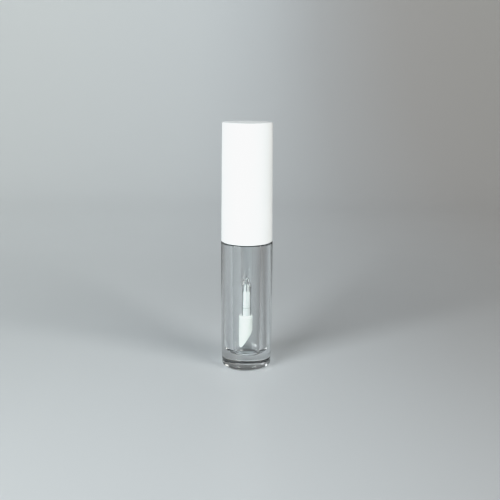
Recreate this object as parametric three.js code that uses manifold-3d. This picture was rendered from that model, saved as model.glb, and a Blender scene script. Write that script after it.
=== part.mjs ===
// Lip gloss tube: a thick-walled clear bottle with a screw neck and an inner wiper, closed by a tall
// white cap that carries a clear wand with a flocked doe-foot applicator.
// Millimetres, +Z up. The origin is the centre of the ring that the bottle stands on.

import * as THREE from "three";
import { mergeVertices } from "three/addons/utils/BufferGeometryUtils.js";
import Module from "manifold-3d";

const wasm = await Module();
wasm.setup();

const TURN = 2 * Math.PI;
const FACETS = 48; // sides of the large round pieces and steps per turn of a thread
const WAND_FACETS = 32; // sides of the thin round pieces

// ---- Bottle body ----
const bodyHeight = 43.1; // standing face to shoulder
const bodyOverhang = 0.08; // the body is this much larger in radius than the cap's mouth
const hipHeight = 13; // below this the side curves gently inwards
const hipInset = 0.34; // how far it has come in where the base corner starts
const baseCornerRadius = 1.0;
const baseRecessDepth = 0.6; // shallow dome under the base, inside the standing ring
const domeSteps = 6;
const standingRingWidth = 1.1;
const shoulderEdge = 0.25;
const floorThickness = 4.6; // clear base under the cavity
const floorCornerRadius = 2.4;
const cavityDraft = 0.12; // the cavity is this much narrower in radius at its floor than at the neck

// ---- Neck and screw thread ----
const neckHeight = 10.9; // shoulder to the neck's rim
const neckWall = 0.9;
const rimChamfer = 0.25;
const threadPitch = 2.5;
const threadTurns = 1.5;
const threadDepth = 0.6;
const threadRise = 2.3; // shoulder to the start of the bottle's thread
const threadClearance = 0.15; // crest of each thread to the wall of the other piece
const ridgeRootShare = 0.4; // width of a ridge at its wall, as a share of the pitch
const ridgeCrestShare = 0.2;

// ---- Cap ----
const capMouthRadius = 8.52;
const capDraft = 0.36; // the cap is this much narrower in radius at its top
const capHeight = 38.83;
const seamGap = 0.3; // shoulder to the cap's mouth
const capWall = 1.0;
const capUpperWall = 1.25; // thicker above the liner, which leaves a ledge over it
const capTopWall = 1.5;
const capTopEdgeRadius = 0.3;
const capMouthEdge = 0.2;
const ribCount = 6;
const ribWidth = 1.2;
const ribDepth = 0.4;

// ---- Threaded liner inside the cap ----
const linerGap = 0.1; // liner to cap, and slots to ribs
const linerWall = 0.9;
const linerSetback = 0.6; // the cap's mouth to the liner's lower rim
const linerDisc = 1.2; // thickness of the disc over the neck
const hubWall = 1.3;
const socketDepth = 8; // how deep the wand sits in the hub
const hubCrown = 0.8; // closed end of the hub

// ---- Wiper and sealing washer ----
const seatGap = 0.05; // between faces that seat on each other
const wiperFlange = 0.7;
const wiperFlangeInset = 0.15; // flange to the outside of the neck's wall
const wiperWall = 0.6;
const wiperSleeve = 7; // rim to the start of the cone
const wiperCone = 2.4;
const wiperLip = 0.5;
const wiperClearance = 0.1; // orifice to the largest stiff section that passes it
const washerThickness = 0.95;
const washerInset = 0.2; // washer to the tips of the liner's thread

// ---- Wand ----
const wandRadius = 2.0; // upper, thick stretch
const wandWall = 0.32; // wall round the applicator's shank
const wandTaperLength = 3.6;
const wandLowerLength = 9.1; // lower end to the start of the taper
const wandSocketClearance = 0.05;
const wandEndChamfer = 0.15;
const wandCollarStep = 0.9; // stop collar under the liner's disc
const wandBoreSpare = 1.9; // straight stretch of the bore above the shank's shoulder
const wandBoreNose = 3.3; // conical closed end of the bore
const wandBoreTip = 0.2; // radius of the small flat at the cone's end

// ---- Doe-foot applicator ----
const tipFloorClearance = 1.7; // cavity floor to the lowest point of the flock
const tipLength = 11.3;
const tipOffset = 0.25; // the tip's axis lies this far to -X of the wand's
const coreRadius = 1.85;
const flockThickness = 0.55;
const flockGap = 0.05;
const flockEndDepth = 1.2; // flock below the core's lower end
const tipEdgeRadius = 0.7;
const slantAngle = THREE.MathUtils.degToRad(33); // slanted face, from the vertical
const slantTopDrop = 5.4; // top of the tip to the upper end of the slanted face
const shankRadius = 1.18;
const shankLength = 8.4;
const shankClearance = 0.07;
const shankLeadIn = 0.5;
const prongInset = 0.28; // the forked end stands this far inside the shank's side
const prongLength = 2.8;
const prongTaper = 0.2; // narrower by this much at the tip
const prongGap = 0.45;
const snapRise = 3.2; // lower end of the wand to the snap bead
const snapBeadHeight = 0.12;
const snapBeadWidth = 0.5;

// ---- Places worked out from the sizes above ----
const bodyRadius = capMouthRadius + bodyOverhang;
const baseRadius = bodyRadius - hipInset;
const capTopRadius = capMouthRadius - capDraft;
const neckTop = bodyHeight + neckHeight;
const capBottom = bodyHeight + seamGap;
const capTop = capBottom + capHeight;
const linerSeatRadius = capMouthRadius - capWall; // inside of the cap's skirt
const linerRadius = linerSeatRadius - linerGap;
const linerBoreRadius = linerRadius - linerWall;
const neckCrestRadius = linerBoreRadius - threadClearance;
const neckRadius = neckCrestRadius - threadDepth;
const neckBoreRadius = neckRadius - neckWall;
const linerCrestRadius = neckRadius + threadClearance;
const cavityFloorRadius = neckBoreRadius - cavityDraft;

const wiperFlangeBottom = neckTop + seatGap;
const wiperFlangeTop = wiperFlangeBottom + wiperFlange;
const washerBottom = wiperFlangeTop + seatGap;
const washerTop = washerBottom + washerThickness;
const discBottom = washerTop + seatGap;
const discTop = discBottom + linerDisc;
const wandTop = discTop + socketDepth;
const hubTop = wandTop + seatGap + hubCrown;

const tipBottom = floorThickness + tipFloorClearance;
const tipTop = tipBottom + tipLength;
const wandBottom = tipTop + seatGap;
const flockRadius = coreRadius + flockGap + flockThickness;
const wandBoreRadius = shankRadius + shankClearance;
const wandLowerRadius = wandBoreRadius + wandWall;
const wandCollarRadius = wandRadius + wandCollarStep;
const socketRadius = wandRadius + wandSocketClearance;
const wiperOrificeRadius = Math.max(wandRadius, coreRadius + tipOffset) + wiperClearance;
const snapHeight = wandBottom + snapRise;

// ---- Helpers ----

// A closed geometry as a solid that can be joined and cut.
function toSolid(geometry) {
  geometry.deleteAttribute("normal");
  geometry.deleteAttribute("uv");
  const merged = mergeVertices(geometry, 1e-4);
  const corners = merged.index.array;
  const triVerts = [];
  for (let i = 0; i < corners.length; i += 3) {
    const [a, b, c] = corners.subarray(i, i + 3);
    if (a !== b && b !== c && c !== a) {
      triVerts.push(a, b, c);
    }
  }
  return new wasm.Manifold(
    new wasm.Mesh({
      numProp: 3,
      vertProperties: merged.attributes.position.array,
      triVerts: new Uint32Array(triVerts),
    }),
  );
}

function toMesh(name, solid, material) {
  const { vertProperties, triVerts } = solid.getMesh();
  const geometry = new THREE.BufferGeometry();
  geometry.setAttribute("position", new THREE.BufferAttribute(vertProperties, 3));
  geometry.setIndex(new THREE.BufferAttribute(triVerts, 1));
  geometry.computeVertexNormals();
  const mesh = new THREE.Mesh(geometry, material);
  mesh.name = name;
  return mesh;
}

// Turns a profile of [radius, height] points round the Z axis. The profile runs anticlockwise.
function turned(profile, facets = FACETS) {
  const points = profile.map(([radius, height]) => new THREE.Vector2(radius, height));
  const geometry = new THREE.LatheGeometry(points, facets);
  geometry.rotateX(Math.PI / 2);
  return toSolid(geometry);
}

// A ring: a profile that doesn't touch the axis and closes on its first point.
function turnedRing(profile, facets = FACETS) {
  return turned([...profile, profile[0]], facets);
}

// Points of a round corner in a profile, from one angle to another in degrees.
function arc(radius, centreRadius, centreHeight, fromDegrees, toDegrees, steps) {
  const points = [];
  for (let i = 0; i <= steps; i += 1) {
    const angle = THREE.MathUtils.degToRad(THREE.MathUtils.lerp(fromDegrees, toDegrees, i / steps));
    points.push([centreRadius + radius * Math.cos(angle), centreHeight + radius * Math.sin(angle)]);
  }
  return points;
}

// A right-hand thread: a bar with a trapezoid section wound round the Z axis. It stands on the wall
// at wallRadius, reaches crestRadius, and its two ends run out into the wall.
function threadRidge(wallRadius, crestRadius, startHeight, startAngle) {
  const steps = Math.round(threadTurns * FACETS);
  const runOutSteps = 4;
  const bite = 0.2 * Math.sign(wallRadius - crestRadius);
  const bar = new THREE.BoxGeometry(1, 1, 1, 1, 1, steps);
  const corners = bar.getAttribute("position");
  for (let i = 0; i < corners.count; i += 1) {
    const along = 0.5 - corners.getZ(i);
    const outside = corners.getX(i) > 0;
    const atCrest = outside === crestRadius > wallRadius;
    const stepsFromEnd = Math.min(along, 1 - along) * steps;
    const height = Math.min(1, stepsFromEnd / runOutSteps);
    const crest = THREE.MathUtils.lerp(wallRadius + bite / 2, crestRadius, height);
    const radius = atCrest ? crest : wallRadius + bite;
    const width = threadPitch * (atCrest ? ridgeCrestShare : ridgeRootShare);
    const angle = startAngle + along * threadTurns * TURN;
    const z = startHeight + along * threadTurns * threadPitch + corners.getY(i) * width;
    corners.setXYZ(i, radius * Math.cos(angle), radius * Math.sin(angle), z);
  }
  return toSolid(bar);
}

// Upright bars evenly spaced round the axis, from one radius to another.
function uprightBars(innerRadius, outerRadius, width, bottom, top) {
  const bars = [];
  for (let i = 0; i < ribCount; i += 1) {
    const bar = new THREE.BoxGeometry(outerRadius - innerRadius, width, top - bottom);
    bar.translate((innerRadius + outerRadius) / 2, 0, (bottom + top) / 2);
    bar.rotateZ(((i + 0.5) / ribCount) * TURN);
    bars.push(toSolid(bar));
  }
  return bars;
}

// ---- Materials ----
const clearPetg = new THREE.MeshStandardMaterial({
  color: 0xf2f6f6, roughness: 0.05, metalness: 0, transparent: true, opacity: 0.3,
});
const clearWandPlastic = new THREE.MeshStandardMaterial({
  color: 0xeef3f4, roughness: 0.08, metalness: 0, transparent: true, opacity: 0.4,
});
const whiteGlossAbs = new THREE.MeshStandardMaterial({ color: 0xf4f8f9, roughness: 0.2, metalness: 0 });
const naturalPolypropylene = new THREE.MeshStandardMaterial({
  color: 0xf0f2ef, roughness: 0.4, metalness: 0,
});
const softPolyethylene = new THREE.MeshStandardMaterial({ color: 0xe6eae9, roughness: 0.45, metalness: 0 });
const foamedPolyethylene = new THREE.MeshStandardMaterial({
  color: 0xf4f4f0, roughness: 0.8, metalness: 0,
});
const whiteNylon = new THREE.MeshStandardMaterial({ color: 0xf1f4f1, roughness: 0.4, metalness: 0 });
const whiteFlock = new THREE.MeshStandardMaterial({ color: 0xecf3ed, roughness: 0.95, metalness: 0 });

// ---- Pieces ----

// The side from the base corner up to the hip is one shallow arc that meets the straight side smoothly.
function hipCurve() {
  const run = hipHeight - baseCornerRadius;
  const radius = (run * run + hipInset * hipInset) / (2 * hipInset);
  const steps = 5;
  const points = [];
  for (let i = 1; i <= steps; i += 1) {
    const drop = run * (1 - i / steps);
    points.push([bodyRadius - radius + Math.sqrt(radius * radius - drop * drop), hipHeight - drop]);
  }
  return points;
}

// The shallow dome under the base, from the axis out to the standing ring.
function baseDome(reach) {
  const points = [];
  for (let i = 0; i <= domeSteps; i += 1) {
    const share = i / domeSteps;
    points.push([reach * share, baseRecessDepth * (1 - share * share)]);
  }
  return points;
}

function bottle() {
  const ringOuter = baseRadius - baseCornerRadius;
  const ringInner = ringOuter - standingRingWidth;
  const blank = turned([
    ...baseDome(ringInner),
    ...arc(baseCornerRadius, ringOuter, baseCornerRadius, -90, 0, 5),
    ...hipCurve(),
    [bodyRadius, bodyHeight - shoulderEdge],
    [bodyRadius - shoulderEdge, bodyHeight],
    [neckRadius, bodyHeight],
    [neckRadius, neckTop - rimChamfer],
    [neckRadius - rimChamfer, neckTop],
    [neckBoreRadius + rimChamfer, neckTop],
    [neckBoreRadius, neckTop - rimChamfer],
    [neckBoreRadius, bodyHeight],
    ...arc(
      floorCornerRadius,
      cavityFloorRadius - floorCornerRadius,
      floorThickness + floorCornerRadius,
      0, -90, 6,
    ),
    [0, floorThickness],
  ]);
  const thread = threadRidge(neckRadius, neckCrestRadius, bodyHeight + threadRise, 0);
  return toMesh("bottle", blank.add(thread), clearPetg);
}

function wiper() {
  const sleeveRadius = neckBoreRadius - seatGap;
  const sleeveBottom = neckTop - wiperSleeve;
  const lipBottom = sleeveBottom - wiperCone;
  const shape = turnedRing([
    [sleeveRadius - wiperWall, wiperFlangeTop],
    [sleeveRadius - wiperWall, sleeveBottom],
    [wiperOrificeRadius, lipBottom + wiperLip],
    [wiperOrificeRadius, lipBottom],
    [wiperOrificeRadius + wiperWall, lipBottom],
    [sleeveRadius, sleeveBottom],
    [sleeveRadius, wiperFlangeBottom],
    [neckRadius - wiperFlangeInset, wiperFlangeBottom],
    [neckRadius - wiperFlangeInset, wiperFlangeTop],
  ]);
  return toMesh("wiper", shape, softPolyethylene);
}

function sealingWasher() {
  const bore = wandCollarRadius + 2 * threadClearance;
  const rim = linerCrestRadius - washerInset;
  const shape = turnedRing([
    [bore, washerTop],
    [bore, washerBottom],
    [rim, washerBottom],
    [rim, washerTop],
  ]);
  return toMesh("sealing_washer", shape, foamedPolyethylene);
}

function outerCap() {
  const upperBoreRadius = capTopRadius - capUpperWall;
  const ledgeHeight = discTop + seatGap;
  const ceiling = capTop - capTopWall;
  const shell = turned([
    [0, ceiling],
    [upperBoreRadius - capTopEdgeRadius, ceiling],
    [upperBoreRadius, ceiling - capTopEdgeRadius],
    [upperBoreRadius, ledgeHeight],
    [linerSeatRadius, ledgeHeight],
    [linerSeatRadius, capBottom + capMouthEdge],
    [linerSeatRadius + capMouthEdge, capBottom],
    ...arc(capMouthEdge, capMouthRadius - capMouthEdge, capBottom + capMouthEdge, -90, 0, 2),
    ...arc(capTopEdgeRadius, capTopRadius - capTopEdgeRadius, capTop - capTopEdgeRadius, 0, 90, 3),
    [0, capTop],
  ]);
  const ribs = uprightBars(
    linerSeatRadius - ribDepth,
    linerSeatRadius + capWall / 2,
    ribWidth,
    capBottom + linerSetback,
    ledgeHeight + seatGap,
  );
  return toMesh("outer_cap", wasm.Manifold.union([shell, ...ribs]), whiteGlossAbs);
}

function innerCap() {
  const bottom = capBottom + linerSetback;
  const hubRadius = socketRadius + hubWall;
  const blank = turned([
    [0, wandTop + seatGap],
    [socketRadius, wandTop + seatGap],
    [socketRadius, discBottom],
    [linerBoreRadius, discBottom],
    [linerBoreRadius, bottom + rimChamfer],
    [linerBoreRadius + rimChamfer, bottom],
    [linerRadius, bottom],
    [linerRadius, discTop],
    [hubRadius, discTop],
    [hubRadius, hubTop - rimChamfer],
    [hubRadius - rimChamfer, hubTop],
    [0, hubTop],
  ]);
  const thread = threadRidge(
    linerBoreRadius,
    linerCrestRadius,
    bodyHeight + threadRise + threadPitch / 2,
    0,
  );
  const slots = uprightBars(
    linerSeatRadius - ribDepth - linerGap,
    linerSeatRadius + linerGap,
    ribWidth + 2 * linerGap,
    bottom - seatGap,
    discTop + seatGap,
  );
  const grooved = slots.reduce((body, slot) => body.subtract(slot), blank.add(thread));
  return toMesh("inner_cap", grooved, naturalPolypropylene);
}

function wandRod() {
  const noseBottom = wandBottom + shankLength + wandBoreSpare;
  const grooveRadius = wandBoreRadius + snapBeadHeight;
  const grooveHalf = snapBeadWidth / 2 + shankClearance;
  const taperBottom = wandBottom + wandLowerLength;
  const shape = turned(
    [
      [0, noseBottom + wandBoreNose],
      [wandBoreTip, noseBottom + wandBoreNose],
      [wandBoreRadius, noseBottom],
      [wandBoreRadius, snapHeight + grooveHalf + snapBeadHeight],
      [grooveRadius, snapHeight + grooveHalf],
      [grooveRadius, snapHeight - grooveHalf],
      [wandBoreRadius, snapHeight - grooveHalf - snapBeadHeight],
      [wandBoreRadius, wandBottom],
      [wandLowerRadius - wandEndChamfer, wandBottom],
      [wandLowerRadius, wandBottom + wandEndChamfer],
      [wandLowerRadius, taperBottom],
      [wandRadius, taperBottom + wandTaperLength],
      [wandRadius, washerBottom],
      [wandCollarRadius, washerBottom],
      [wandCollarRadius, washerTop],
      [wandRadius, washerTop],
      [wandRadius, wandTop - wandEndChamfer],
      [wandRadius - wandEndChamfer, wandTop],
      [0, wandTop],
    ],
    WAND_FACETS,
  );
  return toMesh("wand_rod", shape, clearWandPlastic);
}

// The doe-foot form: a round bar with a rounded lower end and a slanted face towards +X. The outer
// form is the flock's; a smaller form lies inset inside it by the same amount all over.
function doeFoot(radius, bottom, top) {
  const inset = flockRadius - radius;
  const edge = Math.min(tipEdgeRadius, radius / 2);
  const bar = turned(
    [[0, bottom], ...arc(edge, radius - edge, bottom + edge, -90, 0, 3), [radius, top], [0, top]],
    WAND_FACETS,
  ).translate([-tipOffset, 0, 0]);
  const size = 3 * tipLength;
  const block = new THREE.BoxGeometry(size, size, size);
  block.translate(size / 2 - inset, 0, 0);
  block.rotateY(slantAngle);
  block.translate(flockRadius - tipOffset, 0, tipTop - slantTopDrop);
  return bar.subtract(toSolid(block));
}

// The stiff core: a foot inside the flock and a shank with a snap bead and a forked upper end.
function applicatorCore() {
  const shankTop = wandBottom + shankLength;
  const forkTop = shankTop + prongLength;
  const prongRadius = shankRadius - prongInset;
  const shank = turned(
    [
      [0, tipTop - coreRadius],
      [shankRadius, tipTop - coreRadius],
      [shankRadius, snapHeight - snapBeadWidth / 2],
      [shankRadius + snapBeadHeight, snapHeight - snapBeadWidth / 4],
      [shankRadius + snapBeadHeight, snapHeight + snapBeadWidth / 4],
      [shankRadius, snapHeight + snapBeadWidth / 2],
      [shankRadius, shankTop - shankLeadIn],
      [prongRadius, shankTop],
      [prongRadius - prongTaper, forkTop],
      [0, forkTop],
    ],
    WAND_FACETS,
  );
  const slot = new THREE.BoxGeometry(prongGap, 4 * shankRadius, 2 * prongLength);
  slot.translate(0, 0, shankTop + prongLength);
  const foot = doeFoot(coreRadius, tipBottom + flockEndDepth, tipTop);
  return toMesh("applicator_core", foot.add(shank).subtract(toSolid(slot)), whiteNylon);
}

function applicatorFlock() {
  const pile = doeFoot(flockRadius, tipBottom, tipTop);
  const hollow = doeFoot(coreRadius + flockGap, tipBottom + flockEndDepth - flockGap, tipTop + 1);
  return toMesh("applicator_flock", pile.subtract(hollow), whiteFlock);
}

// ---- Assembly ----
const lipGlossTube = new THREE.Group();
lipGlossTube.name = "lip_gloss_tube";

const base = new THREE.Group();
base.name = "bottle_with_wiper";
base.add(bottle(), wiper());

const closure = new THREE.Group();
closure.name = "cap_with_wand";
closure.add(outerCap(), innerCap(), sealingWasher(), wandRod(), applicatorCore(), applicatorFlock());

lipGlossTube.add(base, closure);

export default lipGlossTube;
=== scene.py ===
"""Looks for the lip gloss tube: a clear thick-walled bottle, a white screw cap and a flocked wand.

Lengths are in millimetres until a mesh is made, and Blender's own units are metres.
"""

import math
import random

import bmesh
import bpy
from mathutils import Matrix, Vector


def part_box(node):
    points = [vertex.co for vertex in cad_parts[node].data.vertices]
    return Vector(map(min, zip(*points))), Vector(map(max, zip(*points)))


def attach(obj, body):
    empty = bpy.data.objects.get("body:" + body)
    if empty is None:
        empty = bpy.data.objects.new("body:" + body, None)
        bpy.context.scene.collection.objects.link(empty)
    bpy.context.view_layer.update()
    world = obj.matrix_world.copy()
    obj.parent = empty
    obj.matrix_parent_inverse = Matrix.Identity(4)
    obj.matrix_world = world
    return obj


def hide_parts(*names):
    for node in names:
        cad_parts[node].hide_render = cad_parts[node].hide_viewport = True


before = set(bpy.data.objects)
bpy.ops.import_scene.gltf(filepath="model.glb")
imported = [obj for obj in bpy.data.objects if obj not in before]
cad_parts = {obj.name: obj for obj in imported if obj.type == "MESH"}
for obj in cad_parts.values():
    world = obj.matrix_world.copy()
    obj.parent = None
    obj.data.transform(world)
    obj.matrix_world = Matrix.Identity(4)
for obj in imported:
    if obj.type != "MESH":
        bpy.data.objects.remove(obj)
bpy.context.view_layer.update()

MM = 0.001
TURN = 2 * math.pi
SEGMENTS = 192  # steps round each turned piece of the bottle and cap
WAND_SEGMENTS = 96
random.seed(7)


def span(node):
    """Lowest and highest corner of a CAD node, in millimetres."""
    low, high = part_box(node)
    return low / MM, high / MM


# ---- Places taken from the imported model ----
BOTTLE_HIGH = span("bottle")[1]
WIPER_LOW, WIPER_HIGH = span("wiper")
WASHER_LOW, WASHER_HIGH = span("sealing_washer")
CAP_LOW, CAP_HIGH = span("outer_cap")
LINER_LOW, LINER_HIGH = span("inner_cap")
WAND_LOW, WAND_HIGH = span("wand_rod")
CORE_LOW, CORE_HIGH = span("applicator_core")
FLOCK_LOW, FLOCK_HIGH = span("applicator_flock")

BODY_RADIUS = BOTTLE_HIGH.x
NECK_TOP = BOTTLE_HIGH.z
CAP_RADIUS = CAP_HIGH.x
CAP_BOTTOM = CAP_LOW.z
CAP_TOP = CAP_HIGH.z
SEAM_GAP = 0.3
SHOULDER = CAP_BOTTOM - SEAM_GAP
COLLAR_RADIUS = WAND_HIGH.x

# ---- Sizes of the bottle, as moulded ----
HIP_HEIGHT = 13.0
HIP_INSET = 0.34
BASE_CORNER = 1.0
CORNER_STEPS = 12
RING_WIDTH = 1.1
RECESS_DEPTH = 0.6  # shallow dome under the base
DOME_STEPS = 24
FLOOR = 4.6
FLOOR_CORNER = 2.4
CAVITY_DRAFT = 0.12

# ---- Sizes of the wiper ----
WIPER_ORIFICE = 2.2
WIPER_WALL = 0.6
WIPER_SLEEVE = 7.0
WIPER_LIP = 0.5

# ---- Sizes of the closure ----
CAP_WALL = 1.0
CAP_UPPER_WALL = 1.25
CAP_TOP_WALL = 1.5
CAP_DRAFT = 0.36
RIB_COUNT = 6
RIB_WIDTH = 1.2
RIB_DEPTH = 0.4
RIB_MARGIN = 0.2  # the ribs stop this far below the ledge
RIB_SPACING = 1.0  # height between the rings of the cap's skirt
FIT_GAP = 0.1
SEAT_GAP = 0.05  # between two pieces that are pressed together
LINER_WALL = 0.9
DISC_THICKNESS = 1.2
HUB_HEIGHT = 8.85  # the liner's hub above its disc
THREAD_GAP = 0.15
THREAD_DEPTH = 0.6
THREAD_PITCH = 2.5
THREAD_TURNS = 1.5
THREAD_RISE = 2.3
RIDGE_HALF_WIDTH = 0.2  # half of a thread ridge at its root, as a share of the pitch
RIDGE_FLANK = 0.1  # how much of that is the slope
RUN_OUT_RATE = 12  # a ridge rises to its full height over 1/12 of a turn
THREAD_MARGIN = 0.5  # plain wall left above and below a thread
THREAD_SPACING = 0.12  # height between the rings of a wall that carries a thread
ON_WALL = 0.01  # a point this close in radius is on the wall
HOLLOW_MARGIN = 0.5  # added to the bore to tell the bottle's inner skin from its outer skin
NECK_WALL = 0.9
HUB_WALL = 1.3

LINER_SEAT = CAP_RADIUS - CAP_WALL
LINER_RADIUS = LINER_SEAT - FIT_GAP
LINER_BORE = LINER_RADIUS - LINER_WALL
NECK_RADIUS = LINER_BORE - THREAD_GAP - THREAD_DEPTH
NECK_BORE = NECK_RADIUS - NECK_WALL
LINER_CREST = NECK_RADIUS + THREAD_GAP

# ---- Sizes of the wand and applicator ----
WAND_RADIUS = 2.0
WAND_LOWER_RADIUS = 1.57
WAND_LOWER_LENGTH = 9.1
WAND_TAPER_LENGTH = 3.6
SHANK_RADIUS = 1.18
SHANK_BORE = 1.25
SHANK_SNAP_RISE = 3.2
SNAP_DEPTH = 0.12  # how far the shank's bead stands out, and the depth of its groove
SNAP_BEAD_HALF = 0.125
SNAP_GROOVE_HALF = 0.32
SNAP_SLOPE = 0.12
SHANK_SLOPE = 0.5
BORE_SPARE = 1.9  # straight stretch of the wand's bore above the shank's shoulder
BORE_NOSE = 3.3  # conical closed end of the bore
BORE_TIP = 0.2
PRONG_RADIUS = 0.9  # the shank's forked end
PRONG_LENGTH = 2.8
PRONG_TAPER = 0.2
PRONG_GAP = 0.45
PRONG_SINK = 0.1  # how far a prong starts inside the shank
PRONG_TIP = 0.25  # length over which its end rounds off
PRONG_TIP_INSET = 0.12
PRONG_LEVELS = 12
TIP_OFFSET = 0.25
CORE_RADIUS = 1.85
FLOCK_RADIUS = 2.45
SLANT = math.radians(33)  # slanted face of the doe foot, from the vertical
SLANT_DROP = 5.4
CORE_EDGE = 0.7  # rounding of the stiff foot's lower end
CORE_LEVELS = 24
FLOCK_EDGE = 0.8
FLOCK_LEVELS = 80
FLOCK_LIP = 0.12
PILE = 0.16  # length of fibre that stands out of the dense bed of the flock
LUMP_HEIGHT = 0.03
FIBRE_COUNT = 16000
FIBRE_RADIUS = 0.015  # real ones are 0.01 mm; these are thicker so that they show
FIBRE_ROOT = 0.02  # how far a fibre starts below the bed's skin
FIBRE_LENGTHS = (0.55, 0.95)  # shortest and longest fibre, as shares of the pile
FIBRE_LEAN = 0.3  # how far fibres lean at random
FIBRE_DROOP = 0.3  # and how much more of that lean is downwards
POLE_PLACE = -TIP_OFFSET - CORE_RADIUS + 0.5  # where the foot's lowest point lies across the tube


# ---- Profiles and turned meshes ----

LONGEST_ARC = 0.49  # an arc takes less than half of an edge, so that two arcs never meet
UPRIGHT = 0.05  # a run of a profile that leans less than this is upright


def rounded(corners, steps=6):
    """A profile whose corners (radius, height, fillet) are rounded by arcs."""
    points = []
    for i, (radius, height, fillet) in enumerate(corners):
        here = Vector((radius, height))
        if fillet == 0:
            points.append(here)
            continue
        before = Vector(corners[i - 1][:2]) - here
        after = Vector(corners[(i + 1) % len(corners)][:2]) - here
        half = before.angle(after) / 2
        longest = LONGEST_ARC * min(before.length, after.length)
        reach = min(fillet / math.tan(half), longest)
        fillet = reach * math.tan(half)
        inward = (before.normalized() + after.normalized()).normalized()
        centre = here + inward * fillet / math.sin(half)
        start = here + before.normalized() * reach - centre
        finish = here + after.normalized() * reach - centre
        first = math.atan2(start.y, start.x)
        sweep = (math.atan2(finish.y, finish.x) - first + math.pi) % TURN - math.pi
        for step in range(steps + 1):
            angle = first + sweep * step / steps
            points.append(centre + Vector((math.cos(angle), math.sin(angle))) * fillet)
    return [(point.x, point.y) for point in points]


def stretched(profile, low, high, spacing):
    """The profile with extra points along the upright runs between two heights, for fine relief."""
    points = [profile[0]]
    for (r0, z0), (r1, z1) in zip(profile, profile[1:]):
        upright = abs(r1 - r0) < UPRIGHT and min(z0, z1) < high and max(z0, z1) > low
        count = max(1, round(abs(z1 - z0) / spacing)) if upright else 1
        for step in range(1, count + 1):
            points.append((r0 + (r1 - r0) * step / count, z0 + (z1 - z0) * step / count))
    return points


def finished_mesh(name, build, crease=30):
    """The built mesh as an object, smooth apart from edges sharper than crease degrees."""
    mesh = bpy.data.meshes.new(name)
    build.to_mesh(mesh)
    build.free()
    mesh.shade_smooth()
    mesh.set_sharp_from_angle(angle=math.radians(crease))
    piece = bpy.data.objects.new(name, mesh)
    bpy.context.scene.collection.objects.link(piece)
    return piece


def skin_rings(build, rings, closed):
    """Faces between rings of vertices; a ring of one vertex is a pole."""
    pairs = list(zip(rings, rings[1:] + rings[:1]))
    for lower, upper in pairs if closed else pairs[:-1]:
        count = max(len(lower), len(upper))
        for k in range(count):
            following = (k + 1) % count
            corners = [lower[k % len(lower)], lower[following % len(lower)]]
            corners += [upper[following % len(upper)], upper[k % len(upper)]]
            build.faces.new(dict.fromkeys(corners))


def turned(name, profile, relief=None, closed=False, segments=SEGMENTS):
    """A profile in millimetres, anticlockwise, turned round Z.

    relief(radius, height, angle), where it is given, says where the wall is.
    """
    build = bmesh.new()
    rings = []
    for radius, height in profile:
        if radius < 1e-6:
            rings.append([build.verts.new((0, 0, height * MM))])
            continue
        ring = []
        for k in range(segments):
            angle = k / segments * TURN
            reach = relief(radius, height, angle) if relief else radius
            point = Vector((reach * math.cos(angle), reach * math.sin(angle), height))
            ring.append(build.verts.new(point * MM))
        rings.append(ring)
    skin_rings(build, rings, closed)
    return finished_mesh(name, build)


def thread_height(height, angle, start):
    """How far a thread ridge stands here, from 0 to 1. Its rounded section runs out at both ends."""
    tallest = 0.0
    for turn in range(math.ceil(THREAD_TURNS) + 1):
        along = angle / TURN + turn
        if along > THREAD_TURNS:
            break
        away = abs(height - start - along * THREAD_PITCH) / THREAD_PITCH
        flank = min(1, max(0, (RIDGE_HALF_WIDTH - away) / RIDGE_FLANK))
        run_out = min(1, RUN_OUT_RATE * along, RUN_OUT_RATE * (THREAD_TURNS - along))
        tallest = max(tallest, flank * flank * (3 - 2 * flank) * run_out)
    return tallest


def near_rib(angle, width, radius):
    """Whether this angle lies on one of the evenly spaced ribs."""
    pitch = TURN / RIB_COUNT
    return abs(angle % pitch - pitch / 2) * radius < width / 2


# ---- Colours and material nodes ----


def linear(code):
    """An sRGB hex colour as the linear colour that shaders take."""
    shares = [int(code[i : i + 2], 16) / 255 for i in (1, 3, 5)]
    return [s / 12.92 if s <= 0.04045 else ((s + 0.055) / 1.055) ** 2.4 for s in shares] + [1.0]


def add_node(tree, kind, settings=None, values=None, links=None):
    """Adds a node, sets its properties and input values, and links its inputs."""
    node = tree.nodes.new(kind)
    for name, value in (settings or {}).items():
        setattr(node, name, value)
    for name, value in (values or {}).items():
        node.inputs[name].default_value = value
    for name, source in (links or {}).items():
        tree.links.new(source, node.inputs[name])
    return node


def new_material(name, values):
    """A material with one Principled shader: returns it, its node tree and the shader."""
    material = bpy.data.materials.new(name)
    material.use_nodes = True
    tree = material.node_tree
    tree.nodes.clear()
    shader = add_node(tree, "ShaderNodeBsdfPrincipled", values=values)
    add_node(tree, "ShaderNodeOutputMaterial", links={"Surface": shader.outputs["BSDF"]})
    return material, tree, shader


def grain(tree, size_mm, detail=2.0, stretch=(1, 1, 1)):
    """Noise whose features are about size_mm across on the object."""
    place = add_node(tree, "ShaderNodeTexCoord")
    mapping = add_node(
        tree,
        "ShaderNodeMapping",
        values={"Scale": Vector(stretch)},
        links={"Vector": place.outputs["Object"]},
    )
    return add_node(
        tree,
        "ShaderNodeTexNoise",
        values={"Scale": 1 / (size_mm * MM), "Detail": detail, "Roughness": 0.55},
        links={"Vector": mapping.outputs["Vector"]},
    )


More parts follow.
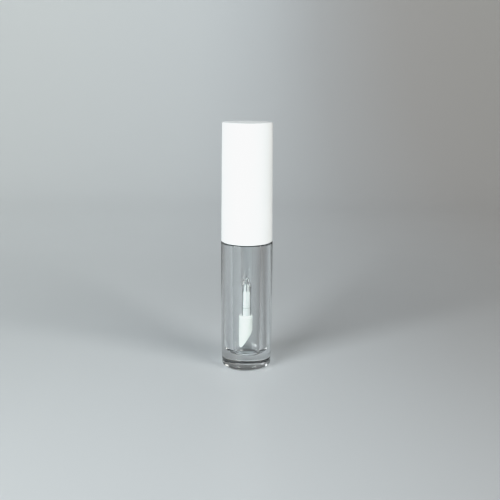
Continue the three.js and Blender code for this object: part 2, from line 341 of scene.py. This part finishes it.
def two_tone(tree, shader, pattern, dark, light, low=0.35, high=0.65):
    """Colour that drifts between two close tones with a pattern."""
    ramp = add_node(tree, "ShaderNodeValToRGB", links={"Fac": pattern.outputs["Fac"]})
    ramp.color_ramp.elements[0].position = low
    ramp.color_ramp.elements[0].color = linear(dark)
    ramp.color_ramp.elements[1].position = high
    ramp.color_ramp.elements[1].color = linear(light)
    tree.links.new(ramp.outputs["Color"], shader.inputs["Base Color"])


def uneven_gloss(tree, shader, pattern, least, most):
    """Roughness that drifts between two values with a pattern."""
    spread = add_node(
        tree,
        "ShaderNodeMapRange",
        values={"To Min": least, "To Max": most},
        links={"Value": pattern.outputs["Fac"]},
    )
    tree.links.new(spread.outputs["Result"], shader.inputs["Roughness"])


def fine_relief(tree, shader, height, depth_mm, strength=1.0):
    """Fine surface relief from the heights of a pattern."""
    bump = add_node(
        tree,
        "ShaderNodeBump",
        values={"Strength": strength, "Distance": depth_mm * MM},
        links={"Height": height},
    )
    tree.links.new(bump.outputs["Normal"], shader.inputs["Normal"])


def let_lamps_in(tree, shader, tint, cavity=None):
    """Lamp light goes straight through the clear wall, dimmed by a tint, and lights what is inside.

    With a cavity radius in millimetres it only does so on its way out of the hollow, so that the
    piece keeps its shadow on the floor.
    """
    share = add_node(tree, "ShaderNodeLightPath").outputs["Is Shadow Ray"]
    if cavity:
        place = add_node(tree, "ShaderNodeTexCoord")
        level = add_node(
            tree,
            "ShaderNodeVectorMath",
            {"operation": "MULTIPLY"},
            {1: (1, 1, 0)},
            {0: place.outputs["Object"]},
        )
        radius = add_node(
            tree, "ShaderNodeVectorMath", {"operation": "LENGTH"}, links={0: level.outputs["Vector"]}
        )
        inner = add_node(
            tree,
            "ShaderNodeMath",
            {"operation": "LESS_THAN"},
            {1: cavity * MM},
            {0: radius.outputs["Value"]},
        )
        face = add_node(tree, "ShaderNodeNewGeometry")
        leaving = add_node(
            tree,
            "ShaderNodeMath",
            {"operation": "MAXIMUM"},
            links={0: inner.outputs["Value"], 1: face.outputs["Backfacing"]},
        )
        both = add_node(
            tree, "ShaderNodeMath", {"operation": "MULTIPLY"}, links={0: leaving.outputs["Value"], 1: share}
        )
        share = both.outputs["Value"]
    open_way = add_node(tree, "ShaderNodeBsdfTransparent", values={"Color": linear(tint)})
    mix = add_node(
        tree,
        "ShaderNodeMixShader",
        links={"Fac": share, 1: shader.outputs["BSDF"], 2: open_way.outputs["BSDF"]},
    )
    output = next(node for node in tree.nodes if node.type == "OUTPUT_MATERIAL")
    tree.links.new(mix.outputs["Shader"], output.inputs["Surface"])


# ---- Materials ----


def moulded_clear_petg():
    """Clear PETG, injection-moulded thick and polished: bright refraction, crisp dark edges."""
    material, tree, shader = new_material(
        "moulded_clear_petg",
        {
            "Base Color": linear("#eff1f2"),
            "IOR": 1.57,
            "Roughness": 0.015,
            "Transmission Weight": 1.0,
        },
    )
    # Flow in the mould leaves a faint waviness, longer up the wall than round it.
    fine_relief(tree, shader, grain(tree, 5, 1.0, (1, 1, 0.25)).outputs["Fac"], 0.012)
    let_lamps_in(tree, shader, "#ced1d1", NECK_BORE + HOLLOW_MARGIN)
    return material


def moulded_clear_san():
    """Clear SAN wand, injection-moulded: a little milkier than the bottle, with faint draw lines."""
    material, tree, shader = new_material(
        "moulded_clear_san",
        {
            "Base Color": linear("#fdfefe"),
            "IOR": 1.56,
            "Roughness": 0.03,
            "Transmission Weight": 1.0,
        },
    )
    fine_relief(tree, shader, grain(tree, 1.5, 1.0, (1, 1, 0.2)).outputs["Fac"], 0.006)
    let_lamps_in(tree, shader, "#fafbfb")
    return material


def gloss_white_abs():
    """White ABS, injection-moulded in a polished tool: bright, with a soft even sheen."""
    material, tree, shader = new_material(
        "gloss_white_abs", {"IOR": 1.53, "Specular IOR Level": 0.5, "Coat Weight": 0.0}
    )
    two_tone(tree, shader, grain(tree, 9, 3), "#f2f6f7", "#f7fafb")
    uneven_gloss(tree, shader, grain(tree, 2.5, 4), 0.13, 0.19)
    fine_relief(tree, shader, grain(tree, 0.6, 2).outputs["Fac"], 0.0015)
    return material


def natural_polypropylene():
    """Unpigmented polypropylene, injection-moulded: milky and satin."""
    material, tree, shader = new_material(
        "natural_polypropylene",
        {
            "IOR": 1.49,
            "Subsurface Weight": 0.35,
            "Subsurface Radius": Vector((1, 1, 1)),
            "Subsurface Scale": 0.8 * MM,
        },
    )
    two_tone(tree, shader, grain(tree, 4, 3), "#e9ece8", "#f2f4f1")
    uneven_gloss(tree, shader, grain(tree, 1.2, 3), 0.34, 0.46)
    fine_relief(tree, shader, grain(tree, 0.4, 2).outputs["Fac"], 0.003)
    return material


def soft_polyethylene():
    """Low-density polyethylene wiper: waxy, milky and soft-looking."""
    material, tree, shader = new_material(
        "soft_polyethylene",
        {
            "IOR": 1.51,
            "Subsurface Weight": 0.5,
            "Subsurface Radius": Vector((1, 1, 1)),
            "Subsurface Scale": 1.0 * MM,
        },
    )
    two_tone(tree, shader, grain(tree, 3, 3), "#e2e7e6", "#eef1f0")
    uneven_gloss(tree, shader, grain(tree, 0.9, 3), 0.38, 0.5)
    fine_relief(tree, shader, grain(tree, 0.5, 2).outputs["Fac"], 0.004)
    return material


def foamed_polyethylene():
    """Die-cut foamed polyethylene sheet: matt, with closed cells about 0.15 mm across."""
    material, tree, shader = new_material("foamed_polyethylene", {"IOR": 1.5})
    two_tone(tree, shader, grain(tree, 1.5, 3), "#eeeee8", "#f6f6f2")
    uneven_gloss(tree, shader, grain(tree, 0.3, 2), 0.7, 0.85)
    cells = add_node(
        tree,
        "ShaderNodeTexVoronoi",
        values={"Scale": 1 / (0.15 * MM)},
        links={"Vector": add_node(tree, "ShaderNodeTexCoord").outputs["Object"]},
    )
    fine_relief(tree, shader, cells.outputs["Distance"], 0.04, 0.8)
    return material


def white_nylon():
    """White nylon, injection-moulded: satin, the stiff core of the applicator."""
    material, tree, shader = new_material("white_nylon", {"IOR": 1.53})
    two_tone(tree, shader, grain(tree, 2, 3), "#dfe2e1", "#ecefee")
    uneven_gloss(tree, shader, grain(tree, 0.6, 3), 0.32, 0.44)
    fine_relief(tree, shader, grain(tree, 0.25, 2).outputs["Fac"], 0.003)
    return material


def nylon_flock(name, dark, light):
    """White nylon flock, planted in an electric field: a velvety pile that catches light at its edge."""
    material, tree, shader = new_material(
        name,
        {
            "IOR": 1.53,
            "Sheen Weight": 0.4,
            "Sheen Roughness": 0.5,
            "Subsurface Weight": 0.2,
            "Subsurface Radius": Vector((1, 1, 1)),
            "Subsurface Scale": 0.4 * MM,
        },
    )
    two_tone(tree, shader, grain(tree, 0.5, 4), dark, light)
    uneven_gloss(tree, shader, grain(tree, 0.2, 2), 0.85, 0.98)
    fine_relief(tree, shader, grain(tree, 0.08, 3).outputs["Fac"], 0.03)
    return material


def finish(piece, material, body, slot, *nodes):
    """Gives a piece its material and its CAD body, and hides the CAD nodes that it stands for. The slot is
    not used.
    """
    piece.data.materials.append(material)
    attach(piece, body)
    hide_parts(*nodes)
    return piece


# ---- The bottle ----


def hip_curve(steps=14):
    """The shallow arc from the base corner up to the straight side."""
    run = HIP_HEIGHT - BASE_CORNER
    radius = (run * run + HIP_INSET * HIP_INSET) / (2 * HIP_INSET)
    points = []
    for i in range(1, steps + 1):
        drop = run * (1 - i / steps)
        points.append((BODY_RADIUS - radius + math.sqrt(radius**2 - drop**2), HIP_HEIGHT - drop))
    return points


def make_bottle():
    base_radius = BODY_RADIUS - HIP_INSET
    ring_outer = base_radius - BASE_CORNER
    ring_inner = ring_outer - RING_WIDTH
    corner = []
    for i in range(CORNER_STEPS + 1):
        angle = math.radians(-90 + 90 * i / CORNER_STEPS)
        reach = ring_outer + BASE_CORNER * math.cos(angle)
        corner.append((reach, BASE_CORNER * (1 + math.sin(angle))))
    underside = [(0, RECESS_DEPTH)]
    for i in range(1, DOME_STEPS + 1):
        share = i / DOME_STEPS
        underside.append((ring_inner * share, RECESS_DEPTH * (1 - share**2)))
    neck = rounded(
        [
            (BODY_RADIUS, HIP_HEIGHT, 0),
            (BODY_RADIUS, SHOULDER, 0.25),
            (NECK_RADIUS, SHOULDER, 0.2),
            (NECK_RADIUS, NECK_TOP, 0.25),
            (NECK_BORE, NECK_TOP, 0.25),
            (NECK_BORE, SHOULDER, 0),
            (NECK_BORE - CAVITY_DRAFT, FLOOR, FLOOR_CORNER),
            (0, FLOOR, 0),
        ],
        8,
    )[1:]
    start = SHOULDER + THREAD_RISE
    low, high = SHOULDER + THREAD_MARGIN, NECK_TOP - THREAD_MARGIN

    def neck_thread(radius, height, angle):
        on_neck = abs(radius - NECK_RADIUS) < ON_WALL and low < height < high
        return radius + (THREAD_DEPTH * thread_height(height, angle, start) if on_neck else 0)

    profile = stretched(underside + corner + hip_curve() + neck, low, high, THREAD_SPACING)
    shape = turned("clear_bottle", profile, neck_thread)
    return finish(shape, moulded_clear_petg(), "bottle", "bottle_clear", "bottle")


def make_wiper():
    flange_radius = WIPER_HIGH.x
    flange_bottom = NECK_TOP + SEAT_GAP
    sleeve = NECK_BORE - SEAT_GAP
    sleeve_bottom = NECK_TOP - WIPER_SLEEVE
    profile = rounded(
        [
            (sleeve - WIPER_WALL, WIPER_HIGH.z, 0.15),
            (sleeve - WIPER_WALL, sleeve_bottom, 0.5),
            (WIPER_ORIFICE, WIPER_LOW.z + WIPER_LIP, 0.12),
            (WIPER_ORIFICE, WIPER_LOW.z, 0.12),
            (WIPER_ORIFICE + WIPER_WALL, WIPER_LOW.z, 0.2),
            (sleeve, sleeve_bottom, 0.5),
            (sleeve, flange_bottom, 0.1),
            (flange_radius, flange_bottom, 0.15),
            (flange_radius, WIPER_HIGH.z, 0.2),
        ]
    )
    shape = turned("soft_wiper", profile, closed=True)
    return finish(shape, soft_polyethylene(), "bottle", "wiper_natural", "wiper")


# ---- The cap ----


def make_outer_cap():
    top_radius = CAP_RADIUS - CAP_DRAFT
    upper_bore = top_radius - CAP_UPPER_WALL
    ledge = LINER_HIGH.z - HUB_HEIGHT + SEAT_GAP
    ceiling = CAP_TOP - CAP_TOP_WALL
    profile = rounded(
        [
            (0, ceiling, 0),
            (upper_bore, ceiling, 0.5),
            (upper_bore, ledge, 0.1),
            (LINER_SEAT, ledge, 0.1),
            (LINER_SEAT, CAP_BOTTOM, 0.15),
            (CAP_RADIUS, CAP_BOTTOM, 0.15),
            (top_radius, CAP_TOP, 0.3),
            (0, CAP_TOP, 0),
        ]
    )
    profile = stretched(profile, CAP_BOTTOM, ledge, RIB_SPACING)

    def ribs(radius, height, angle):
        on_skirt = abs(radius - LINER_SEAT) < 2 * ON_WALL and LINER_LOW.z < height < ledge - RIB_MARGIN
        return radius - (RIB_DEPTH if on_skirt and near_rib(angle, RIB_WIDTH, radius) else 0)

    shape = turned("white_cap", profile, ribs)
    return finish(shape, gloss_white_abs(), "cap", "cap_white", "outer_cap")


def make_liner():
    socket = WAND_RADIUS + SEAT_GAP
    socket_top = WAND_HIGH.z + SEAT_GAP
    hub = socket + HUB_WALL
    disc_top = LINER_HIGH.z - HUB_HEIGHT
    disc_bottom = disc_top - DISC_THICKNESS
    start = SHOULDER + THREAD_RISE + THREAD_PITCH / 2
    profile = rounded(
        [
            (0, socket_top, 0),
            (socket, socket_top, 0.1),
            (socket, disc_bottom, 0.2),
            (LINER_BORE, disc_bottom, 0.25),
            (LINER_BORE, LINER_LOW.z, 0.2),
            (LINER_RADIUS, LINER_LOW.z, 0.2),
            (LINER_RADIUS, disc_top, 0.2),
            (hub, disc_top, 0.4),
            (hub, LINER_HIGH.z, 0.3),
            (0, LINER_HIGH.z, 0),
        ]
    )
    profile = stretched(profile, LINER_LOW.z, disc_top, THREAD_SPACING)

    def thread_and_slots(radius, height, angle):
        if abs(radius - LINER_BORE) < ON_WALL:
            return radius - (LINER_BORE - LINER_CREST) * thread_height(height, angle, start)
        on_outside = abs(radius - LINER_RADIUS) < ON_WALL
        slotted = on_outside and near_rib(angle, RIB_WIDTH + 2 * FIT_GAP, radius)
        return radius - (RIB_DEPTH if slotted else 0)

    shape = turned("threaded_liner", profile, thread_and_slots)
    return finish(shape, natural_polypropylene(), "cap", "liner_natural", "inner_cap")


def make_washer():
    bore = COLLAR_RADIUS + 2 * THREAD_GAP
    profile = rounded(
        [
            (bore, WASHER_HIGH.z, 0.12),
            (bore, WASHER_LOW.z, 0.12),
            (WASHER_HIGH.x, WASHER_LOW.z, 0.12),
            (WASHER_HIGH.x, WASHER_HIGH.z, 0.12),
        ]
    )
    shape = turned("foam_washer", profile, closed=True)
    return finish(shape, foamed_polyethylene(), "washer", "washer_foam", "sealing_washer")


# ---- The wand and its applicator ----


def make_wand():
    taper_bottom = WAND_LOW.z + WAND_LOWER_LENGTH
    taper_top = taper_bottom + WAND_TAPER_LENGTH
    nose_bottom = CORE_HIGH.z - PRONG_LENGTH + BORE_SPARE
    snap = WAND_LOW.z + SHANK_SNAP_RISE
    groove = SHANK_BORE + SNAP_DEPTH
    mouth_half = SNAP_GROOVE_HALF + SNAP_SLOPE
    profile = rounded(
        [
            (0, nose_bottom + BORE_NOSE, 0),
            (BORE_TIP, nose_bottom + BORE_NOSE, 0.1),
            (SHANK_BORE, nose_bottom, 3.0),
            (SHANK_BORE, snap + mouth_half, 0.05),
            (groove, snap + SNAP_GROOVE_HALF, 0.05),
            (groove, snap - SNAP_GROOVE_HALF, 0.05),
            (SHANK_BORE, snap - mouth_half, 0.05),
            (SHANK_BORE, WAND_LOW.z, 0.06),
            (WAND_LOWER_RADIUS, WAND_LOW.z, 0.18),
            (WAND_LOWER_RADIUS, taper_bottom, 2.0),
            (WAND_RADIUS, taper_top, 2.0),
            (WAND_RADIUS, WASHER_LOW.z, 0.2),
            (COLLAR_RADIUS, WASHER_LOW.z, 0.15),
            (COLLAR_RADIUS, WASHER_HIGH.z, 0.15),
            (WAND_RADIUS, WASHER_HIGH.z, 0.1),
            (WAND_RADIUS, WAND_HIGH.z, 0.15),
            (0, WAND_HIGH.z, 0),
        ]
    )
    shape = turned("clear_wand", profile, segments=WAND_SEGMENTS)
    return finish(shape, moulded_clear_san(), "wand", "wand_clear", "wand_rod")


def foot_ring(radius, low, edge, height, segments=WAND_SEGMENTS):
    """One level of the doe foot: a round section cut by the slanted plane, its edges rounded."""
    inset = FLOCK_RADIUS - radius
    rise = min(max(height - low, 0), edge)
    round_radius = radius - edge + math.sqrt(edge**2 - (edge - rise) ** 2)
    plane_top = FLOCK_RADIUS - TIP_OFFSET - inset / math.cos(SLANT)
    limit = plane_top - (FLOCK_HIGH.z - SLANT_DROP - height) * math.tan(SLANT)
    left = -TIP_OFFSET - round_radius
    right = min(limit, round_radius - TIP_OFFSET)
    middle = (left + right) / 2
    ring = []
    for k in range(segments):
        angle = k / segments * TURN
        across = Vector((math.cos(angle), math.sin(angle)))
        # Distance from the middle to the circle along this direction, then to the plane.
        shift = middle + TIP_OFFSET
        along = shift * across.x
        to_circle = -along + math.sqrt(max(along**2 - shift**2 + round_radius**2, 0))
        to_plane = (limit - middle) / across.x if across.x > 1e-3 else 1e3
        soft = 0.5 * edge
        overlap = max(soft - abs(to_circle - to_plane), 0) / soft
        reach = min(to_circle, to_plane) - overlap**2 * soft / 4
        ring.append(Vector((middle + reach * across.x, reach * across.y, height)))
    return ring


def foot_levels(low, high, count):
    """Heights up the foot, closer together near its rounded end."""
    return [low + (high - low) * (i / count) ** 1.3 for i in range(count + 1)]


def add_rings(build, rings):
    return [[build.verts.new(point * MM) for point in ring] for ring in rings]


def add_prong(build, side, root, segments=24):
    """One prong of the shank's forked end: a round bar cut flat towards the slot, its tip rounded."""
    rings = []
    for i in range(PRONG_LEVELS + 1):
        rise = PRONG_LENGTH * i / PRONG_LEVELS - (PRONG_SINK if i == 0 else 0)
        share = max(0, (rise - PRONG_LENGTH + PRONG_TIP) / PRONG_TIP)
        radius = PRONG_RADIUS - PRONG_TAPER * rise / PRONG_LENGTH - PRONG_TIP_INSET * share**2
        reach = math.acos(PRONG_GAP / 2 / radius)
        ring = []
        for k in range(segments):
            angle = reach * (2 * k / (segments - 1) - 1)
            across = Vector((math.cos(angle), math.sin(angle), 0)) * side * radius
            ring.append(across + Vector((0, 0, root + rise)))
        rings.append(ring)
    loops = add_rings(build, rings)
    skin_rings(build, loops, False)
    build.faces.new(loops[0][::-1])
    build.faces.new(loops[-1])


def level_ring(radius, height, segments=WAND_SEGMENTS):
    """A level circle of points round the axis."""
    angles = [k / segments * TURN for k in range(segments)]
    return [Vector((radius * math.cos(angle), radius * math.sin(angle), height)) for angle in angles]


def make_core():
    """The stiff white core: a forked shank with a snap bead, and the foot inside the flock."""
    snap = WAND_LOW.z + SHANK_SNAP_RISE
    bead = SHANK_RADIUS + SNAP_DEPTH
    bead_foot = 2 * SNAP_BEAD_HALF
    shank_top = CORE_HIGH.z - PRONG_LENGTH
    build = bmesh.new()
    levels = foot_levels(CORE_LOW.z, FLOCK_HIGH.z, CORE_LEVELS)
    foot = add_rings(build, [foot_ring(CORE_RADIUS, CORE_LOW.z, CORE_EDGE, z) for z in levels])
    shank_profile = rounded(
        [
            (SHANK_RADIUS + 0.3, FLOCK_HIGH.z, 0),
            (SHANK_RADIUS, FLOCK_HIGH.z, 0.04),
            (SHANK_RADIUS, snap - bead_foot, 0.05),
            (bead, snap - SNAP_BEAD_HALF, 0.05),
            (bead, snap + SNAP_BEAD_HALF, 0.05),
            (SHANK_RADIUS, snap + bead_foot, 0.05),
            (SHANK_RADIUS, shank_top - SHANK_SLOPE, 0.15),
            (PRONG_RADIUS, shank_top, 0.05),
            (0, shank_top, 0),
        ]
    )
    shank = add_rings(build, [level_ring(radius, height) for radius, height in shank_profile[:-1]])
    bottom = build.verts.new(Vector((POLE_PLACE, 0, CORE_LOW.z)) * MM)
    top = build.verts.new(Vector((0, 0, shank_top)) * MM)
    skin_rings(build, [[bottom], *foot, *shank, [top]], False)
    for side in (-1, 1):
        add_prong(build, side, shank_top)
    shape = finished_mesh("applicator_stem", build)
    return finish(shape, white_nylon(), "cap", "applicator_white", "applicator_core")


def make_flock_bed():
    """The dense bed of the flock: a shell round the foot, lumpy at the scale of the pile."""
    build = bmesh.new()
    outer = FLOCK_RADIUS - PILE
    low = FLOCK_LOW.z + PILE
    levels = foot_levels(low, FLOCK_HIGH.z - FLOCK_LIP, FLOCK_LEVELS)
    outside = [foot_ring(outer, low, FLOCK_EDGE, z) for z in levels]
    lip = [foot_ring(outer - FLOCK_LIP, low, FLOCK_EDGE, FLOCK_HIGH.z)]
    hollow_low = CORE_LOW.z - SEAT_GAP
    levels = foot_levels(hollow_low, FLOCK_HIGH.z, CORE_LEVELS)[::-1]
    inside = [foot_ring(CORE_RADIUS + SEAT_GAP, hollow_low, CORE_EDGE, z) for z in levels]
    for ring in outside[:-2]:
        for point in ring:
            point += lump(point)
    bottom = build.verts.new(Vector((POLE_PLACE - 0.1, 0, low)) * MM)
    inner_bottom = build.verts.new(Vector((POLE_PLACE, 0, hollow_low)) * MM)
    skin_rings(build, [[bottom], *add_rings(build, outside + lip + inside), [inner_bottom]], False)
    material = nylon_flock("nylon_flock_bed", "#e6ede7", "#f0f5f1")
    bed = finished_mesh("flock_bed", build, 60)
    return finish(bed, material, "cap", "flock_white", "applicator_flock")


def lump(point):
    """A small outward or inward move that makes the pile uneven."""
    wave = math.sin(point.x * 5.1 + point.z * 2.3) * math.sin(point.y * 4.7 - point.z * 3.1)
    return Vector((point.x + TIP_OFFSET, point.y, 0)).normalized() * LUMP_HEIGHT * wave


def make_flock_fibres(bed):
    """Fibres that stand out of the bed, each a slim three-sided spike."""
    mesh = bed.data
    mesh.calc_loop_triangles()
    triangles = [t for t in mesh.loop_triangles if outside_of_bed(t.center / MM, t.normal)]
    areas = [t.area for t in triangles]
    build = bmesh.new()
    for triangle in random.choices(triangles, weights=areas, k=FIBRE_COUNT):
        a, b, c = (mesh.vertices[i].co for i in triangle.vertices)
        u, v = random.random(), random.random()
        if u + v > 1:
            u, v = 1 - u, 1 - v
        root = a + (b - a) * u + (c - a) * v
        lean = Vector((random.gauss(0, 1), random.gauss(0, 1), random.gauss(0, 1) - FIBRE_DROOP))
        along = (triangle.normal + lean * FIBRE_LEAN).normalized()
        length = PILE * random.uniform(*FIBRE_LENGTHS) * MM
        side = along.orthogonal().normalized() * FIBRE_RADIUS * MM
        turn = Matrix.Rotation(TURN / 3, 3, along)
        base = root - along * FIBRE_ROOT * MM
        corners = [build.verts.new(base + side), build.verts.new(base + turn @ side)]
        corners.append(build.verts.new(base + turn @ turn @ side))
        tip = build.verts.new(root + along * length)
        build.faces.new(corners[::-1])
        for k in range(3):
            build.faces.new((corners[k], corners[(k + 1) % 3], tip))
    material = nylon_flock("nylon_flock_fibre", "#eef4ef", "#f8fbf8")
    fibres = finished_mesh("flock_fibres", build, 180)
    return finish(fibres, material, "cap", "flock_white", "applicator_flock")


def outside_of_bed(point, normal):
    """Whether a face of the bed lies on its outer skin and not in the hollow for the core."""
    outward = Vector((point.x + TIP_OFFSET, point.y, 0))
    if point.z > FLOCK_HIGH.z - 0.05:
        return outward.length > CORE_RADIUS + 0.1
    return outward.dot(normal) > -0.2 and (outward.length > CORE_RADIUS + 0.12 or normal.z < -0.1)


make_bottle()
make_wiper()
make_outer_cap()
make_liner()
make_washer()
make_wand()
make_core()
make_flock_fibres(make_flock_bed())

# ---- Camera ----

CAMERA_PLACE = Vector((0.00107, -0.2468, 0.0981))
CAMERA_PITCH = math.radians(13.23)
CAMERA_ROLL = math.radians(0.352)
CAMERA_LENS = 54.7

camera_data = bpy.data.cameras.new("camera")
camera_data.lens = CAMERA_LENS
camera_data.sensor_width = 36
camera_data.clip_start = 0.01
camera = bpy.data.objects.new("camera", camera_data)
bpy.context.scene.collection.objects.link(camera)
camera.matrix_world = (
    Matrix.Translation(CAMERA_PLACE)
    @ Matrix.Rotation(math.pi / 2 - CAMERA_PITCH, 4, "X")
    @ Matrix.Rotation(CAMERA_ROLL, 4, "Z")
)
bpy.context.scene.camera = camera

# ---- Floor, backdrop and light ----

# Painted light on the paper across the set, paler on the left and darker to the right, and painted shade
# from front to back, darkest just behind the tube and darker again up the backdrop: place in metres and
# colour.
PAPER_PAINTED_LIGHT = [
    (-0.25, "#dde2e3"),
    (-0.06, "#d9dfe3"),
    (0.02, "#ccd1d5"),
    (0.08, "#babdc0"),
    (0.17, "#aeacab"),
    (0.3, "#abaaa8"),
]
# Painted shade from front to back: darkest just behind the tube, and darker again up the backdrop.
PAPER_PAINTED_SHADE = [
    (-0.08, "#f2f2f2"),
    (0.02, "#e3e3e3"),
    (0.09, "#dfdfdf"),
    (0.17, "#e8e8e8"),
    (0.3, "#fafafa"),
    (0.5, "#f1f1f1"),
    (0.68, "#e6e6e6"),
]


def tones_along(tree, place, stops):
    """Colours that change smoothly with a coordinate; each stop is a place and a colour."""
    first, last = stops[0][0], stops[-1][0]
    ends = {"From Min": first, "From Max": last}
    share = add_node(tree, "ShaderNodeMapRange", values=ends, links={"Value": place})
    ramp = add_node(tree, "ShaderNodeValToRGB", links={"Fac": share.outputs["Result"]})
    ramp.color_ramp.interpolation = "B_SPLINE"
    elements = ramp.color_ramp.elements
    while len(elements) < len(stops):
        elements.new(0.5)
    for element, (position, tone) in zip(elements, stops):
        element.position = (position - first) / (last - first)
        element.color = linear(tone)
    return ramp.outputs["Color"]


def coated_paper_painted_light():
    """Grey coated paper, matt with a slight satin reflection; painted light makes it paler on the left, and
    painted shade darkens it from front to back.
    """
    material, tree, shader = new_material("coated_paper_painted_light", {"IOR": 1.45})
    place = add_node(tree, "ShaderNodeTexCoord")
    way = add_node(tree, "ShaderNodeSeparateXYZ", links={"Vector": place.outputs["Object"]})
    # Painted light and shade: the colour is lighter on the left, darker to the right, and darker in a band
    # just behind the tube.
    across = tones_along(tree, way.outputs["X"], PAPER_PAINTED_LIGHT)
    back = tones_along(tree, way.outputs["Y"], PAPER_PAINTED_SHADE)
    both = add_node(tree, "ShaderNodeVectorMath", {"operation": "MULTIPLY"}, links={0: across, 1: back})
    tree.links.new(both.outputs["Vector"], shader.inputs["Base Color"])
    uneven_gloss(tree, shader, grain(tree, 30, 2), 0.36, 0.42)
    return material


def make_sweep():
    """A floor that curves up into a backdrop, with no visible join."""
    build = bmesh.new()
    front, back, bend, top = -1.2, 0.3, 0.5, 0.21
    half_width = 1.8
    steps = 16
    profile = [(front, 0.0), (back, 0.0)]
    last = math.acos(1 - top / bend)
    for i in range(1, steps + 1):
        angle = last * i / steps
        profile.append((back + bend * math.sin(angle), bend * (1 - math.cos(angle))))
    rows = [[build.verts.new((x, y, z)) for x in (-half_width, half_width)] for y, z in profile]
    for near, far in zip(rows, rows[1:]):
        build.faces.new((near[0], near[1], far[1], far[0]))
    sweep = finished_mesh("paper_sweep", build)
    # The paper's colour carries painted light and shade.
    sweep.data.materials.append(coated_paper_painted_light())


def add_softbox(name, place, aim, width, height, power, colour):
    data = bpy.data.lights.new(name, "AREA")
    data.shape = "RECTANGLE"
    data.size = width
    data.size_y = height
    data.energy = power
    data.color = linear(colour)[:3]
    lamp = bpy.data.objects.new(name, data)
    bpy.context.scene.collection.objects.link(lamp)
    lamp.location = place
    lamp.rotation_euler = (Vector(aim) - Vector(place)).to_track_quat("-Z", "Y").to_euler()
    return lamp


AIR_COLOURS = [(-1, "#d6dadb"), (1, "#8a8b89")]
# The air is bright at the horizon, dimmer above it and dark overhead.
AIR_SHADES = [
    (0.06, "#ffffff"),
    (0.16, "#e0e0e0"),
    (0.26, "#b4b4b4"),
    (0.5, "#acacac"),
    (0.8, "#404040"),
]


def set_world(across, upward):
    """Air round the set: its colours from left to right, times its shades from the horizon up."""
    world = bpy.data.worlds.new("studio_air")
    world.use_nodes = True
    tree = world.node_tree
    place = add_node(tree, "ShaderNodeTexCoord")
    way = add_node(tree, "ShaderNodeSeparateXYZ", links={"Vector": place.outputs["Generated"]})
    tones = tones_along(tree, way.outputs["X"], across)
    shades = tones_along(tree, way.outputs["Z"], upward)
    both = add_node(tree, "ShaderNodeVectorMath", {"operation": "MULTIPLY"}, links={0: tones, 1: shades})
    tree.links.new(both.outputs["Vector"], tree.nodes["Background"].inputs["Color"])
    bpy.context.scene.world = world


def around(bearing, elevation, distance):
    """A place round the tube: bearing from the front, to the right, and elevation, in degrees."""
    turn, tilt = math.radians(bearing), math.radians(elevation)
    level = distance * math.cos(tilt)
    return Vector((level * math.sin(turn), -level * math.cos(turn), distance * math.sin(tilt)))


# Light that comes in and light that is shown, for tones that roll off below full white.
BRIGHTEST = 2.0
ROLL_OFF = [(0.35, 0.35), (0.7, 0.7), (0.9, 0.87), (1.1, 0.93), (1.4, 0.95)]
WHITEST = 0.955
WHITEST_RED = 0.915  # the whitest white is very slightly cool
RED_BEND = 0.8  # below this, red stays as it is


def camera_response():
    """Whites roll off softly below full white, as on a small camera."""
    view = bpy.context.scene.view_settings
    view.view_transform = "Standard"
    view.use_curve_mapping = True
    curve = view.curve_mapping
    curve.use_clip = True
    curve.clip_max_x = BRIGHTEST
    curve.clip_max_y = 1.0
    rise = curve.curves[3].points
    rise[0].location = (0, 0)
    rise[1].location = (BRIGHTEST, WHITEST)
    for place in ROLL_OFF:
        rise.new(*place)
    red = curve.curves[0].points
    red[1].location = (WHITEST, WHITEST_RED)
    red.new(RED_BEND, RED_BEND)
    for point in red:
        point.handle_type = "VECTOR"
    curve.update()


make_sweep()
MIDDLE = (0, 0, 0.04)
BASE_EDGE = (0, 0, 0.002)
add_softbox("left_softbox", around(-40, 30, 1.4), MIDDLE, 0.7, 0.7, 21.0, "#fbffff")
add_softbox("right_softbox", around(51, 30, 1.4), MIDDLE, 0.7, 0.7, 14.2, "#fffdf8")
add_softbox("rim_lamp", around(180 + 33, 20, 1.2), BASE_EDGE, 0.16, 0.1, 0.05, "#ffffff")
set_world(AIR_COLOURS, AIR_SHADES)
camera_response()
